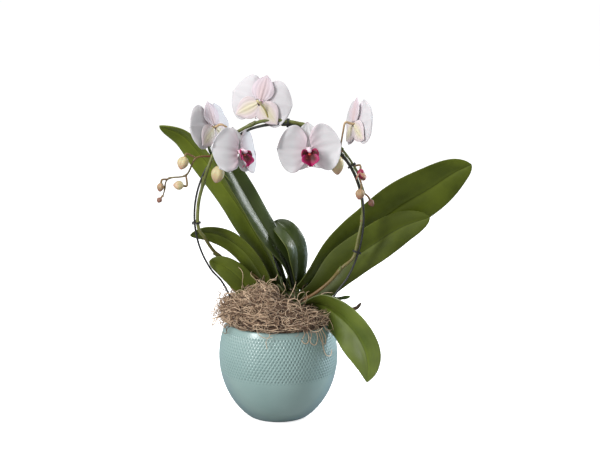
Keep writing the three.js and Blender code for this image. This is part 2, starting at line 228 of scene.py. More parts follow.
class Nodes:
    """Short names for the nodes of one tree."""

    def __init__(self, tree):
        self.tree = tree

    def node(self, kind, inputs=None, **properties):
        made = self.tree.nodes.new("ShaderNode" + kind)
        for key, value in properties.items():
            setattr(made, key, value)
        for key, value in (inputs or {}).items():
            socket = made.inputs[key]
            if isinstance(value, bpy.types.NodeSocket):
                self.tree.links.new(value, socket)
            else:
                socket.default_value = value
        return made

    def noise(self, vector, scale, detail=4.0):
        inputs = {"Vector": vector, "Scale": scale, "Detail": detail, "Roughness": NOISE_ROUGHNESS}
        return self.node("TexNoise", inputs).outputs["Fac"]

    def ramp(self, factor, *stops):
        ramp = self.node("ValToRGB", {"Fac": factor})
        bar = ramp.color_ramp.elements
        while len(bar) < len(stops):
            bar.new(0.5)
        for element, (position, colour) in zip(bar, stops):
            element.position = position
            element.color = (*colour, 1) if isinstance(colour, tuple) else (colour, colour, colour, 1)
        return ramp.outputs["Color"]

    def mix(self, factor, a, b):
        made = self.node("Mix", data_type="RGBA")
        for socket, value in ((made.inputs[0], factor), (made.inputs[6], a), (made.inputs[7], b)):
            if isinstance(value, bpy.types.NodeSocket):
                self.tree.links.new(value, socket)
            elif isinstance(value, tuple):
                socket.default_value = (*value, 1)
            else:
                socket.default_value = value
        return made.outputs[2]

    def math(self, operation, a, b=0.0, c=0.0):
        return self.node("Math", {0: a, 1: b, 2: c}, operation=operation).outputs[0]

    def times(self, a, b):
        return self.math("MULTIPLY", a, b)

    def split(self, vector):
        return self.node("SeparateXYZ", {0: vector}).outputs

    def off_middle(self, across):
        """How far the place is from the middle line of its sheet, from 0 to 0.5."""
        return self.math("ABSOLUTE", self.math("SUBTRACT", across, 0.5))


class Effect(Nodes):
    """A node group that several finishes share, with its named inputs and outputs."""

    def __init__(self, name, inputs, outputs):
        super().__init__(bpy.data.node_groups.new(name, "ShaderNodeTree"))
        for way, sockets in (("INPUT", inputs), ("OUTPUT", outputs)):
            for label, kind in sockets.items():
                self.tree.interface.new_socket(label, in_out=way, socket_type="NodeSocket" + kind)
        self.given = self.tree.nodes.new("NodeGroupInput").outputs
        self.results = self.tree.nodes.new("NodeGroupOutput").inputs

    def give(self, socket, name):
        self.tree.links.new(socket, self.results[name])


def make_mottling():
    """Colour that drifts between a dark and a light one as cloudy noise goes from From to To."""
    inputs = {"Vector": "Vector", "Scale": "Float", "Detail": "Float", "From": "Float", "To": "Float",
              "Dark": "Color", "Light": "Color"}
    effect = Effect("mottling", inputs, {"Color": "Color", "Height": "Float"})
    given = effect.given
    cloud = effect.noise(given["Vector"], given["Scale"], given["Detail"])
    levels = {"Value": cloud, "From Min": given["From"], "From Max": given["To"]}
    share = effect.node("MapRange", levels).outputs["Result"]
    effect.give(effect.mix(share, given["Dark"], given["Light"]), "Color")
    effect.give(cloud, "Height")
    return effect.tree


def make_fine_lines():
    """Noise drawn out into fine lines along a sheet, for veins and streaks."""
    inputs = {"UV": "Vector", "Stretch": "Vector", "Detail": "Float"}
    effect = Effect("fine_lines", inputs, {"Lines": "Float"})
    given = effect.given
    stretched = effect.node("Mapping", {"Vector": given["UV"], "Scale": given["Stretch"]}).outputs[0]
    effect.give(effect.noise(stretched, 1.0, given["Detail"]), "Lines")
    return effect.tree


MOTTLING = make_mottling()
FINE_LINES = make_fine_lines()


class Finish(Nodes):
    """One material: its shader and the nodes that feed it."""

    def __init__(self, name, **settings):
        self.material = bpy.data.materials.new(name)
        self.material.use_nodes = True
        super().__init__(self.material.node_tree)
        self.shader = self.tree.nodes["Principled BSDF"]
        self.set(**settings)

    def set(self, **settings):
        for key, value in settings.items():
            self.shader.inputs[key.replace("_", " ")].default_value = value

    def link(self, socket, name):
        self.tree.links.new(socket, self.shader.inputs[name])

    def place(self):
        return self.node("TexCoord").outputs["Object"]

    def uv(self):
        return self.node("TexCoord").outputs["UV"]

    def streaked(self, uv, lengthwise, crosswise, detail=3.0):
        inputs = {"UV": uv, "Stretch": (lengthwise, crosswise, 1.0), "Detail": detail}
        return self.node("Group", inputs, node_tree=FINE_LINES).outputs["Lines"]

    def mottled(self, scale, detail, dark, light):
        """The drifting colour and its noise. dark and light are a noise level and a colour each."""
        inputs = {"Vector": self.place(), "Scale": scale, "Detail": detail, "From": dark[0], "To": light[0],
                  "Dark": (*dark[1], 1), "Light": (*light[1], 1)}
        made = self.node("Group", inputs, node_tree=MOTTLING)
        return made.outputs["Color"], made.outputs["Height"]

    def bump(self, height, strength, distance=1 * MM):
        inputs = {"Height": height, "Strength": strength, "Distance": distance}
        self.link(self.node("Bump", inputs).outputs["Normal"], "Normal")


def pot_glaze():
    """Sea-green glaze that pools darker in the dimples and breaks paler on the ridges, with a painted bluish
    reflection where it turns away at the outline.
    """
    glaze = Finish("pot_glaze", Coat_Weight=0.4, Coat_Roughness=0.18)
    place = glaze.place()
    x, y, z = glaze.split(place)
    turn = glaze.times(glaze.math("ARCTAN2", y, x), DOTS_ROUND)
    row_height = (DOT_BAND_HIGH - DOT_BAND_LOW) / DOT_ROWS
    row = glaze.times(glaze.math("SUBTRACT", z, DOT_BAND_LOW), pi / row_height)
    lattice = glaze.times(glaze.math("COSINE", turn), glaze.math("COSINE", row))
    above, below = glaze.math("GREATER_THAN", z, DOT_BAND_LOW), glaze.math("LESS_THAN", z, DOT_BAND_HIGH)
    pooling = glaze.times(glaze.ramp(lattice, (0.1, 0.0), (0.8, 0.42)), above)
    pooling = glaze.times(pooling, below)
    base, _ = glaze.mottled(14, 4, (0.3, (0.225, 0.335, 0.32)), (0.7, (0.28, 0.398, 0.382)))
    pooled = glaze.mix(pooling, base, (0.1, 0.17, 0.165))
    speckle = glaze.ramp(glaze.noise(place, 900, 2), (0.62, 0.0), (0.72, 1.0))
    flecked = glaze.mix(glaze.times(speckle, 0.12), pooled, (0.36, 0.48, 0.46))
    # Painted reflection: the glaze is tinted bluish towards the outline, where it faces away from the camera.
    facing = glaze.node("LayerWeight", {"Blend": 0.35}).outputs["Facing"]
    painted_rim_reflection = glaze.ramp(facing, (0.4, 0.0), (0.9, 0.8))
    glaze.link(glaze.mix(painted_rim_reflection, flecked, (0.1, 0.24, 0.32)), "Base Color")
    glaze.link(glaze.ramp(glaze.noise(place, 60), (0.3, 0.3), (0.7, 0.42)), "Roughness")
    glaze.bump(glaze.noise(place, 500, 3), 0.05, 0.2 * MM)
    return glaze.material


def dot_height(angle, z):
    """Small dimples where two sets of slanting rows cross, with a low swell between them."""
    row = (z - DOT_BAND_LOW) / (DOT_BAND_HIGH - DOT_BAND_LOW) * DOT_ROWS
    if not 0 < row < DOT_ROWS:
        return 0.0
    lattice = cos(angle * DOTS_ROUND) * cos(pi * row)
    relief = 0.25 * max(0.0, -lattice) - max(0.0, lattice) ** 1.3
    return DOT_DEPTH * relief * min(1, row, DOT_ROWS - row)


def pot_profile():
    """Radius and height: up the outside from the foot's middle, then over the lip and down inside."""
    lip = POT_WALL / 2
    top = RIM_HEIGHT - lip
    foot = pot_radius(0)
    outside = [(POLE, 0), (12 * MM, 0), (foot - 1.5 * MM, 0), (foot - 0.3 * MM, 0.4 * MM)]
    outside += [(pot_radius(z * MM), z * MM) for z in (1.6, 4, 8, 13, 19, 26, 34, 42, 48, 53)]
    for i in range(DOT_STEPS + 1):
        z = DOT_START + (top - DOT_START) * i / DOT_STEPS
        outside.append((pot_radius(z), z))
    middle = pot_radius(top) - lip
    inside = [(middle + lip * cos(a), top + lip * sin(a)) for a in (0.5, 1.05, 1.57, 2.1, 2.65)]
    inner = [top - (top - POT_FLOOR) * i / 10 for i in range(11)]
    inside += [(pot_radius(z, POT_WALL), z) for z in inner]
    inside.append((POLE, POT_FLOOR))
    return outside, inside


def make_pot():
    outside, inside = pot_profile()
    profile = outside + inside
    rows = len(profile) - 1
    turns = DOTS_ROUND * 6

    def place(u, v):
        r, z = profile[round(v * rows)]
        angle = u * 2 * pi
        r += dot_height(angle, z) if round(v * rows) < len(outside) else 0.0
        return around(r, angle, z)

    return bent_grid("cover_pot", turns, rows, place)


add_piece("cover_pot", make_pot(), [pot_glaze()], "pot_glaze", "flower_pot")

# ---- Nursery pot, bark and stem base ----
# The plant grows in a thin black plastic nursery pot packed with pine bark, which stands loose
# inside the cover pot. Its short green stem comes up through the bark, ringed by old leaf scars.

GROWER_TOP = RIM_HEIGHT - 9 * MM
GROWER_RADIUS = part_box("grower_pot")[1][0]
GROWER_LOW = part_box("grower_pot")[0][2]
BARK_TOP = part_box("bark_mix")[1][2]
BARK_REACH = 46 * MM
BARK_CHIPS = 60
SHEATH_THICKNESS = 1.6 * MM


def rim(x, y, z):
    """A place in millimetres from the middle of the pot's rim."""
    return Vector((x * MM, y * MM, RIM_HEIGHT + z * MM))


def lathe(name, profile, turns):
    """A body of revolution from a list of radius and height that starts and ends at the axis."""
    rows = len(profile) - 1

    def place(u, v):
        r, z = profile[round(v * rows)]
        return around(max(r, 1e-6), u * 2 * pi, z)

    return bent_grid(name, turns, rows, place)


def black_plastic(name, roughness):
    plastic = Finish(name, Base_Color=(0.012, 0.012, 0.013, 1))
    place = plastic.place()
    worn, scuffs = plastic.mottled(120, 4, (0.4, (0.01, 0.01, 0.011)), (0.8, (0.028, 0.028, 0.03)))
    plastic.link(worn, "Base Color")
    plastic.link(plastic.ramp(scuffs, (0.3, roughness - 0.1), (0.7, roughness + 0.12)), "Roughness")
    plastic.bump(plastic.noise(place, 700, 2), 0.15, 0.2 * MM)
    return plastic.material


def make_grower_pot():
    base = 0.56 * GROWER_RADIUS
    wall, bead = 1 * MM, 2.4 * MM
    profile = [(0, GROWER_LOW), (base, GROWER_LOW), (base + wall, GROWER_LOW + 2 * MM)]
    profile += [(GROWER_RADIUS - bead, GROWER_TOP - 9 * MM), (GROWER_RADIUS, GROWER_TOP - 8.5 * MM)]
    profile += [(GROWER_RADIUS, GROWER_TOP - wall), (GROWER_RADIUS - wall, GROWER_TOP)]
    profile += [(GROWER_RADIUS - bead, GROWER_TOP - wall)]
    profile += [(GROWER_RADIUS - bead - wall, GROWER_TOP - 9 * MM)]
    profile += [(base - wall, GROWER_LOW + 2 * MM), (0, GROWER_LOW + 2 * MM)]
    return lathe("nursery_pot", profile, 72)


def bark_finish():
    bark = Finish("bark")
    corky, grain = bark.mottled(260, 6, (0.3, (0.012, 0.007, 0.004)), (0.72, (0.085, 0.045, 0.024)))
    bark.link(corky, "Base Color")
    bark.link(bark.ramp(grain, (0.3, 0.95), (0.8, 0.7)), "Roughness")
    bark.bump(grain, 0.8, 1.2 * MM)
    return bark.material


def chip(size, centre, turn):
    """One flake of bark: a bevelled block knocked out of true."""
    bm = bmesh.new()
    bmesh.ops.create_cube(bm, size=1)
    bmesh.ops.bevel(bm, geom=bm.edges[:], offset=0.14, segments=2, affect="EDGES", profile=0.5, material=-1)
    for vert in bm.verts:
        vert.co += noise.noise_vector(vert.co * 1.6 + centre * 300) * 0.3
        vert.co = turn @ Vector((a * b for a, b in zip(vert.co, size))) + centre
    return as_mesh("chip", bm)


def make_chips(seed, count):
    rng = random.Random(seed)
    chips = []
    for _ in range(count):
        reach = BARK_REACH * sqrt(rng.random())
        angle = rng.uniform(0, 2 * pi)
        centre = around(reach, angle, BARK_TOP - rng.uniform(1, 5) * MM)
        size = [rng.uniform(a, b) * MM for a, b in ((9, 17), (6, 11), (4, 7))]
        turn = Matrix.Rotation(rng.uniform(0, 6.3), 3, "Z") @ Matrix.Rotation(rng.uniform(-0.5, 0.5), 3, "X")
        chips.append(chip(size, centre, turn))
    return join_meshes("bark_chips", chips)


def make_bark_bed():
    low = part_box("bark_mix")[0][2]
    base, top = 0.5 * GROWER_RADIUS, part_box("bark_mix")[1][0]
    profile = [(0, low), (base, low), (top, BARK_TOP - 2 * MM), (top * 0.6, BARK_TOP - 1 * MM), (0, BARK_TOP)]
    return lathe("bark_bed", profile, 48)


bark = bark_finish()
nursery_black = black_plastic("nursery_black", 0.5)
add_piece("nursery_pot", make_grower_pot(), [nursery_black], "black_plastic", "grower_pot")
add_piece("bark_bed", make_bark_bed(), [bark], "bark", "bark_mix")
add_piece("bark_chips", make_chips(7, BARK_CHIPS), [bark], "bark")


class Route:
    """A smooth line through a few points, read by its share of the whole length."""

    def __init__(self, points, steps=16):
        padded = [2 * points[0] - points[1], *points, 2 * points[-1] - points[-2]]
        self.spots = [points[0]]
        for before, start, end, after in zip(padded, padded[1:], padded[2:], padded[3:]):
            gaps = [sqrt((b - a).length) for a, b in ((before, start), (start, end), (end, after))]
            lead = (start - before) / gaps[0] - (end - before) / (gaps[0] + gaps[1])
            lead = (lead + (end - start) / gaps[1]) * gaps[1]
            tail = (end - start) / gaps[1] - (after - start) / (gaps[1] + gaps[2])
            tail = (tail + (after - end) / gaps[2]) * gaps[1]
            for i in range(1, steps + 1):
                t = i / steps
                curve = (2 * t**3 - 3 * t**2 + 1) * start + (t**3 - 2 * t**2 + t) * lead
                self.spots.append(curve + (3 * t**2 - 2 * t**3) * end + (t**3 - t**2) * tail)
        self.marks = [0.0]
        for a, b in zip(self.spots, self.spots[1:]):
            self.marks.append(self.marks[-1] + (b - a).length)
        self.length = self.marks[-1]

    def at(self, share):
        """The point there and the way the line runs."""
        goal = min(max(share, 0.0), 1.0) * self.length
        i = min(range(len(self.marks) - 1), key=lambda k: 0 if self.marks[k + 1] >= goal else 1)
        a, b = self.spots[i], self.spots[i + 1]
        part = (goal - self.marks[i]) / max(1e-12, self.marks[i + 1] - self.marks[i])
        before, after = self.spots[max(i - 1, 0)], self.spots[min(i + 2, len(self.spots) - 1)]
        return a.lerp(b, part), (b - before).lerp(after - a, part).normalized()


def tube(name, points, radius, along, sides=12, ribs=None):
    """A closed round stem. radius is a number, or a function of the share of its length."""
    route = Route(points)
    wide = radius if callable(radius) else lambda share: radius
    shares = [0.0, *(i / along for i in range(along + 1)), 1.0]
    frames = []
    side = Vector((0, 1, 0))
    for share in shares:
        centre, ahead = route.at(share)
        side = (side - ahead * side.dot(ahead)).normalized()
        frames.append((centre, side.copy(), ahead.cross(side)))
    last = len(shares) - 1

    def place(u, v):
        i = round(u * last)
        centre, across, up = frames[i]
        angle = v * 2 * pi
        r = 0.0 if i in (0, last) else wide(shares[i])
        if ribs:
            r *= 1 + ribs[1] * cos(ribs[0] * angle)
        return centre + (across * cos(angle) + up * sin(angle)) * r

    return bent_grid(name, last, sides, place)


def smooth_step(x):
    x = min(max(x, 0.0), 1.0)
    return x * x * (3 - 2 * x)


def bump_at(x, middle, width):
    return exp(-(((x - middle) / width) ** 2))


def stem_green(name, low, high, blushed=1.0):
    """Green stem skin with brownish streaks, flushed reddish brown towards its foot."""
    skin = Finish(name, Specular_IOR_Level=0.45)
    place = skin.place()
    along = skin.split(skin.uv())[0]
    blush = skin.ramp(along, (0.0, blushed), (0.22, 0.25 * blushed), (0.4, 0.0))
    mottled, _ = skin.mottled(90, 4, (0.35, low), (0.7, high))
    streaks = skin.times(skin.ramp(skin.noise(place, 320), (0.5, 0.0), (0.75, 1.0)), 0.45)
    flushed = skin.mix(streaks, mottled, (0.12, 0.055, 0.02))
    skin.link(skin.mix(blush, flushed, (0.19, 0.062, 0.035)), "Base Color")
    skin.link(skin.ramp(skin.noise(place, 200), (0.3, 0.32), (0.7, 0.5)), "Roughness")
    skin.bump(skin.noise(place, 420), 0.25, 0.4 * MM)
    return skin.material


def give_wall(mesh, thickness):
    bm = bmesh.new()
    bm.from_mesh(mesh)
    bmesh.ops.solidify(bm, geom=bm.faces[:], thickness=thickness)
    bm.to_mesh(mesh)
    bm.free()
    return mesh


def leaf_sheath(name, direction, height, radius):
    """The clasping foot of a leaf: a folded collar that rises on one side of the stem."""
    a = radians(direction)

    def place(u, v):
        s = 2 * v - 1
        bearing = a + s * 1.5 * (1 - 0.35 * u)
        out = radius * (1 + 0.35 * u * u) * (1 - 0.12 * s * s)
        top = 8 + height * u * (1 - 0.4 * s * s)
        return rim(18 + out * cos(bearing) + 3 * u * cos(a), 5.5 + out * sin(bearing), top)

    return give_wall(bent_grid(name, 14, 16, place), SHEATH_THICKNESS)


crown_route = [rim(16, 6, -26), rim(17, 6, 0), rim(20, 5, 34)]
crown_parts = [tube("stem_base", crown_route, lambda s: 11 * MM * (1 + 0.05 * cos(s * 40)), 60, 24)]
for direction, height, radius in ((175, 46, 9), (10, 40, 10), (200, 38, 11.5), (350, 32, 12), (95, 50, 8),
                                  (260, 20, 12.5)):
    crown_parts.append(leaf_sheath("sheath", direction, height, radius))
add_piece("stem_base", join_meshes("stem_base", crown_parts),
          [stem_green("stem_base", (0.03, 0.042, 0.008), (0.07, 0.085, 0.015), 0.0)], "leaf_base",
          "plant_crown")

# ---- Leaves ----
# Nine thick strap leaves in two ranks. Each clasps the stem with a folded base, is creased along
# its midrib and ends in a blunt tip, with a waxy skin over fine veins that run its whole length.

LEAF_THICKNESS = 1.7 * MM
# name, midrib from base to tip, half width, turn about it at base and tip, fold, how the tip
# narrows (0.5 is round), finish
LEAVES = (
    ("leaf_upper_left", ((12, 14, 32), (-6, 23, 64), (-31, 28, 108), (-56, 29, 148), (-88, 27, 193),
                         (-113, 20, 223), (-141, 12, 236)), 22, (-52, -40), 0.3, 0.6, "fresh"),
    ("leaf_back", ((16, 20, 30), (-10, 32, 72), (-33, 40, 112), (-52, 44, 143), (-70, 46, 171)),
     19, (-40, -30), 0.25, 0.5, "dark"),
    ("leaf_tall_centre", ((17, 4, 40), (10, 5, 71), (-9, 8, 99), (-28, 13, 131), (-44, 17, 159),
                          (-62, 20, 188), (-84, 22, 212)), 16, (50, 34), 0.2, 0.5, "dark"),
    ("leaf_arched", ((21, 6, 40), (24, 5, 68), (20, 7, 92), (10, 14, 108), (-4, 26, 118)),
     17, (58, 40), 0.15, 0.5, "dark"),
    ("leaf_mid_left", ((8, 2, 28), (-8, 4, 36), (-23, 8, 60), (-40, 11, 84), (-61, 12, 100),
                       (-84, 11, 107), (-106, 10, 104)), 15, (-36, -28), 0.25, 0.6, "deep"),
    ("leaf_low_left", ((6, -6, 24), (-30, -6, 32), (-42, -7, 48), (-54, -8, 61), (-67, -8, 70),
                       (-82, -6, 75)), 15, (20, 10), 0.2, 0.5, "deep"),
    ("leaf_right_long", ((28, 8, 34), (75, 20, 80), (113, 26, 109), (148, 28, 137), (184, 28, 159),
                         (214, 26, 179), (233, 22, 188)), 34, (22, 12), 0.15, 0.55, "broad"),
    ("leaf_right_front", ((28, 0, 24), (48, 0, 36), (79, 3, 68), (115, 6, 93), (149, 8, 114),
                          (182, 6, 126)), 23, (-12, -10), 0.15, 0.55, "deep"),
    ("leaf_front_right", ((24, -8, 20), (50, -18, 25), (71, -34, 16), (91, -46, -2), (103, -52, -24),
                          (107, -54, -44), (106, -54, -62)), 26, (40, 20), 0.2, 0.95, "waxed"),
)


def make_leaf(name, spine, half_width, turns, fold, pointed):
    route = Route([rim(*point) for point in spine])
    seed = Vector((len(name), half_width, fold * 10))

    def place(u, v):
        t = 0.5 - 0.5 * cos(pi * u) if u > 0.5 else u
        s = 2 * v - 1
        centre, along = route.at(min(t, 0.9995))
        flat = along.cross(Vector((0, 1, 0))).normalized()
        turn = radians(turns[0] + (turns[1] - turns[0]) * t)
        side = flat * cos(turn) + along.cross(flat) * sin(turn)
        face = along.cross(side)
        swell = 0.52 + 0.48 * smooth_step(t / 0.42)
        point = max(0.0, 1 - max(0.0, (t - 0.55) / 0.45) ** 2.4) ** pointed
        half = half_width * MM * max(0.01, swell * point)
        crease = fold + 0.55 * (1 - smooth_step(t / 0.25))
        depth = half * crease * (sqrt(s * s + 0.006) - 0.08)
        depth += half * 0.07 * sin(pi * abs(s)) - 0.5 * MM * bump_at(s, 0, 0.07)
        ripple = noise.noise(Vector((t * 4, s * 0.8, 0)) + seed) * 1.6
        ripple += sin(t * 17 + seed.x) * s * s * 0.5
        return centre + side * (s * half) + face * (depth + ripple * MM * swell * point)

    return bent_grid(name, 72, 20, place)


def leaf_finish(name, dark, light, roughness, gloss):
    """Waxy green with painted shade at the foot and in the midrib's crease, a painted lighter band either
    side of the crease, fine parallel veins and bloom.
    """
    leaf = Finish(name, Specular_IOR_Level=gloss)
    place, uv = leaf.place(), leaf.uv()
    along, across, _ = leaf.split(uv)
    off_rib = leaf.off_middle(across)
    base, _ = leaf.mottled(22, 5, (0.3, dark), (0.72, light))
    veins = leaf.streaked(uv, 2.0, 110.0)
    veined = leaf.mix(leaf.ramp(veins, (0.42, 0.0), (0.7, 0.35)), base, light)
    # Painted light and shade: a lighter band either side of the midrib and a dark line in its crease, as the
    # groove catches and loses the light.
    painted_crease_light = leaf.ramp(off_rib, (0.02, 0.4), (0.12, 0.0))
    with_crease_light = leaf.mix(painted_crease_light, veined, tuple(1.25 * c for c in light))
    rib = leaf.ramp(off_rib, (0.0, 0.85), (0.018, 0.2), (0.04, 0.0))
    with_crease_shade = leaf.mix(rib, with_crease_light, tuple(0.7 * c for c in dark))
    edge = leaf.ramp(off_rib, (0.485, 0.0), (0.5, 0.7))
    edged = leaf.mix(edge, with_crease_shade, (0.16, 0.18, 0.03))
    # Painted shade: the blade darkens towards its foot, where the crown and the leaves above shade it.
    foot = leaf.ramp(along, (0.08, 0.85), (0.5, 0.0))
    leaf.link(leaf.mix(foot, edged, tuple(0.55 * c for c in dark)), "Base Color")
    bloom = leaf.noise(place, 45, 6)
    leaf.link(leaf.ramp(bloom, (0.3, roughness), (0.75, roughness + 0.16)), "Roughness")
    heights = leaf.math("ADD", leaf.times(veins, 0.7), leaf.times(bloom, 0.5))
    leaf.bump(heights, 0.28, 0.6 * MM)
    return leaf.material


# Lit and shaded copies of one leaf green, given to each leaf by how it stands in the light: 'broad' is
# painted lighter for the top-lit long right leaf, 'deep' is painted shade for the leaves lower in the plant,
# and 'dark' is painted shade for the leaves in the middle and behind, with more gloss; 'fresh' and 'waxed'
# share one green.
LEAF_FINISHES = {
    "fresh": (leaf_finish("leaf_fresh", (0.062, 0.088, 0.007), (0.135, 0.17, 0.014), 0.34, 0.22), "leaf"),
    "waxed": (leaf_finish("leaf_waxed", (0.06, 0.088, 0.009), (0.13, 0.17, 0.018), 0.28, 0.55), "leaf"),
    "broad": (leaf_finish("leaf_broad_lit", (0.055, 0.074, 0.006), (0.112, 0.142, 0.011), 0.36, 0.18), "leaf"),
    "deep": (leaf_finish("leaf_deep_shaded", (0.042, 0.056, 0.006), (0.088, 0.112, 0.01), 0.36, 0.18), "leaf"),
    "dark": (leaf_finish("leaf_dark", (0.018, 0.03, 0.005), (0.045, 0.066, 0.009), 0.24, 0.32), "leaf_dark"),
}


def thicken(piece, thickness, back=0):
    """Gives a sheet its thickness and a soft edge. back is how far on its back's material is."""
    wall = piece.modifiers.new("thickness", "SOLIDIFY")
    wall.thickness = thickness
    wall.offset = 0
    wall.material_offset = back
    rounding = piece.modifiers.new("rounding", "SUBSURF")
    rounding.levels = rounding.render_levels = 1


for name, spine, half_width, turns, fold, pointed, finish in LEAVES:
    material, slot = LEAF_FINISHES[finish]
    leaf_mesh = make_leaf(name + "_blade", spine, half_width, turns, fold, pointed)
    thicken(add_piece(name + "_blade", leaf_mesh, [material], slot, name), LEAF_THICKNESS)

# ---- Hoop and flower stems ----
# A hoop of black coated wire stands in the bark. Two green stems rise from the leaf base and are
# trained round it from either side. Each swells at a node with a papery scale every few centimetres.

HOOP_Y = -16
HOOP_X = 1.5
HOOP_MIDDLE = 131
HOOP_HALF_WIDTH = 100.5
HOOP_RISE = {"top": 110, "left": 109, "right": 127}
WIRE_RADIUS = 1.2
STEM_RADIUS = 2.2
BESIDE = WIRE_RADIUS + STEM_RADIUS + 0.6
SCALE_THICKNESS = 0.25 * MM


def on_hoop(degrees, out=0.0, front=0.0):
    """A place by the hoop: 0 is its right side and 90 its top, `out` is away from its middle."""
    a = radians(degrees)
    part = "top" if sin(a) > 0 else "right" if cos(a) > 0 else "left"
    x = HOOP_X + (HOOP_HALF_WIDTH + out) * cos(a)
    return rim(x, HOOP_Y - front, HOOP_MIDDLE + (HOOP_RISE[part] + out) * sin(a))


def millimetres(x, y, z):
    return Vector((x, y, z)) * MM


hoop_route = [rim(34, HOOP_Y, -60), rim(38, HOOP_Y, -20)]
hoop_route += [on_hoop(-48 + 276 * i / 24) for i in range(25)]
hoop_route += [rim(-38, HOOP_Y, -20), rim(-34, HOOP_Y, -60)]
hoop_mesh = tube("wire_hoop", hoop_route, WIRE_RADIUS * MM, 260, 12)
wire_black = black_plastic("wire_coating", 0.35)
add_piece("wire_hoop", hoop_mesh, [wire_black], "black_wire", "hoop")

left_route = [rim(8, 4, 34), rim(-22, 9, 50), rim(-52, 7, 66), rim(-75, -1, 84), rim(-88, -13, 106)]
left_route += [on_hoop(188, -BESIDE), on_hoop(172, -BESIDE), on_hoop(158, -BESIDE, 1)]
left_route += [on_hoop(146, -1, BESIDE), on_hoop(134, BESIDE, 1), on_hoop(118, BESIDE)]
left_route += [on_hoop(100, BESIDE + 1.5)] + [on_hoop(a, BESIDE) for a in (82, 64, 46, 30, 14)]
right_route = [rim(26, -2, 24), rim(44, -10, 36), rim(62, -15, 52), rim(77, -19, 70)]
right_route += [on_hoop(-24, -BESIDE, 1), on_hoop(-12, -BESIDE), on_hoop(0, -1, -BESIDE)]
right_route += [on_hoop(a, 0, -BESIDE) for a in (16, 36, 60, 84, 108)]
right_route += [on_hoop(128, 0, -BESIDE - 1), on_hoop(139, 1, -BESIDE - 3)]
right_tip = right_route[-1]
spray_turns = ((-3, 0, -1.5), (-21, -6, -3), (-33, -8, -23), (-55, -8, -28), (-59, -8, -42), (-61, -8, -49))
spray_route = [right_tip + millimetres(*turn) for turn in spray_turns]


def scale_leaf(route, share, radius, length):
    """The papery scale that sheathes a node: a pointed sleeve, open along one side."""
    centre, ahead = route.at(share)
    side = ahead.cross(Vector((0, 1, 0))).normalized()
    up = ahead.cross(side)

    def place(u, v):
        angle = (v - 0.5) * 4.6 * (1 - 0.75 * u * u)
        r = radius * (1.12 + 0.3 * u)
        return centre + ahead * (u * length) + (side * cos(angle) + up * sin(angle)) * r

    return give_wall(bent_grid("scale", 8, 12, place), SCALE_THICKNESS)


def make_stem(name, points, radius, nodes, tip_share):
    """A stem that swells at each node and thins from tip_share on."""
    def wide(share):
        knots = sum(bump_at(share, node, 0.008) for node in nodes)
        thin = 1 - 0.45 * smooth_step((share - tip_share) / (1 - tip_share))
        return radius * MM * thin * (0.93 + 0.3 * knots)

    route = Route(points)
    scales = [scale_leaf(route, node, wide(node + 0.01), 7 * MM) for node in nodes]
    return join_meshes(name, [tube(name, points, wide, 240, 14), *scales])


stem_skin = stem_green("stem_green", (0.085, 0.105, 0.02), (0.16, 0.185, 0.045), 0.8)
spray_skin = stem_green("spray_green", (0.12, 0.08, 0.025), (0.19, 0.15, 0.045))
left_stem = make_stem("stem_left", left_route, STEM_RADIUS, (0.2, 0.42, 0.62, 0.755, 0.86, 0.93), 0.72)
right_stem = make_stem("stem_right", right_route, STEM_RADIUS, (0.165, 0.34, 0.55, 0.75, 0.88), 0.72)
add_piece("stem_left", left_stem, [stem_skin], "stem", "spike_left")
add_piece("stem_right", right_stem, [stem_skin], "stem", "spike_right")


def spray_radius(share):
    turns = sum(bump_at(share, node, 0.03) for node in (0.24, 0.5, 0.72, 0.87))
    return 1.2 * MM * (0.95 - 0.3 * share + 0.35 * turns)


add_piece("spray_stem", tube("spray_stem", spray_route, spray_radius, 90, 10), [spray_skin],
          "stem", "spray_branch")

# ---- Twist ties ----
# Each is a short plastic-coated wire, wound twice round stem and hoop and twisted off at the side.

TIE_WIRE = 0.55 * MM


def make_tie(name, degrees, out):
    room = (WIRE_RADIUS + STEM_RADIUS + 0.9) * MM
    centre = on_hoop(degrees, out / 2)
    along = (on_hoop(degrees + 1) - on_hoop(degrees - 1)).normalized()
    across = (on_hoop(degrees, 10) - on_hoop(degrees)).normalized()
    front = along.cross(across)
    reach = abs(out) * MM / 2 + room
    winding = []
    for i in range(29):
        angle = 2 * pi * i / 14
        climb = along * ((i / 28 - 0.5) * 2.4 * MM)
        loop = across * (cos(angle) * reach * 0.8) + front * (sin(angle) * room * 0.82)
        winding.append(centre + loop + climb)
    parts = [tube(name, winding, TIE_WIRE, 120, 8)]
    tail_start = centre + front * room * 0.8
    for phase in (0, pi):
        tail = []
        for i in range(13):
            twist = phase + i * 1.1
            spread = TIE_WIRE * (1.0 if i < 9 else 1 + (i - 8) * 0.9)
            offset = across * cos(twist) + along * sin(twist)
            tail.append(tail_start + front * (i * 0.62 * MM) + offset * spread)
        parts.append(tube(name, tail, TIE_WIRE, 40, 8))
    return join_meshes(name, parts)


tie_plastic = black_plastic("tie_plastic", 0.5)
for name, degrees, out in (("tie_left", 184, -BESIDE), ("tie_top", 84, BESIDE),
                           ("tie_upper_right", 33, BESIDE), ("tie_lower_right", -20, -BESIDE)):
    add_piece(name + "_wire", make_tie(name + "_wire", degrees, out), [tie_plastic], "tie_wire", name)

# ---- Flowers ----
# Each moth orchid has three oval sepals, two broad petals set in front of them, a three-lobed lip
# that curls up round a short column, and a ribbed stalk behind that joins it to the stem.

FLOWER_RADIUS = 37
SEPAL_LENGTH = 0.9 * FLOWER_RADIUS
SEPAL_BACK = 3.2  # how far the sepals sit behind the petals
PETAL_LENGTH = 1.03 * FLOWER_RADIUS
PETAL_HALF_WIDTH = 0.76 * FLOWER_RADIUS
PETAL_THICKNESS = 0.7 * MM
LIP_THICKNESS = 0.6 * MM
